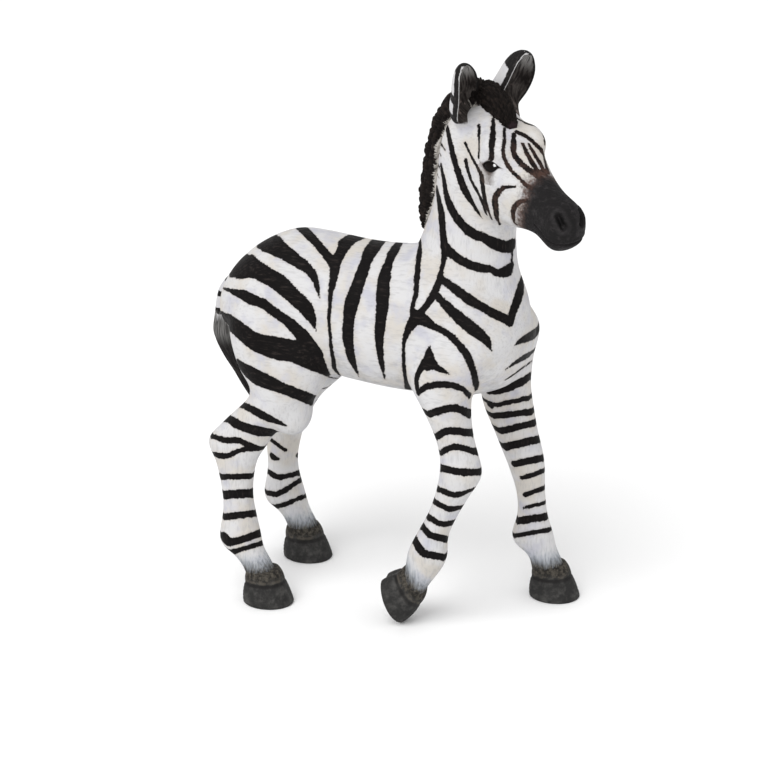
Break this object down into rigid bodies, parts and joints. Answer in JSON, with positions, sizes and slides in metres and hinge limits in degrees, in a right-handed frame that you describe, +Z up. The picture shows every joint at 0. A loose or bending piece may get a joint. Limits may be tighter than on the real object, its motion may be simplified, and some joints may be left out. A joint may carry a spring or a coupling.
{
  "type": "toy zebra foal figure",
  "caption": "Rigid painted plastic figure of a standing zebra foal, head turned to its right and one foreleg bent with the hoof on its toe.",
  "frame": {"origin": "on the standing surface, under the middle of the figure's box", "axes": "+X is the way the foal walks, +Y is its left, +Z is up"},
  "size_m": [0.0636, 0.028, 0.0893],
  "materials": {
    "striped_coat": "hand-painted matte off-white with brown-black stripes",
    "hoof": "matte charcoal paint with grey mottling",
    "ear": "matte black rim, brown-grey hollow and white back",
    "eye": "glossy black",
    "mane": "matte brown-black over moulded hair",
    "tail": "matte white and black at the dock, black tuft"
  },
  "bodies": {
    "root": {"trunk": "striped_coat", "neck": "striped_coat", "head": "striped_coat", "right_foreleg": "striped_coat", "left_foreleg": "striped_coat", "right_hindleg": "striped_coat", "left_hindleg": "striped_coat", "right_fore_hoof": "hoof", "left_fore_hoof": "hoof", "right_hind_hoof": "hoof", "left_hind_hoof": "hoof", "right_ear": "ear", "left_ear": "ear", "right_eye": "eye", "left_eye": "eye", "neck_mane": "mane", "forelock": "mane", "tail": "tail"}
  },
  "joints": []
}
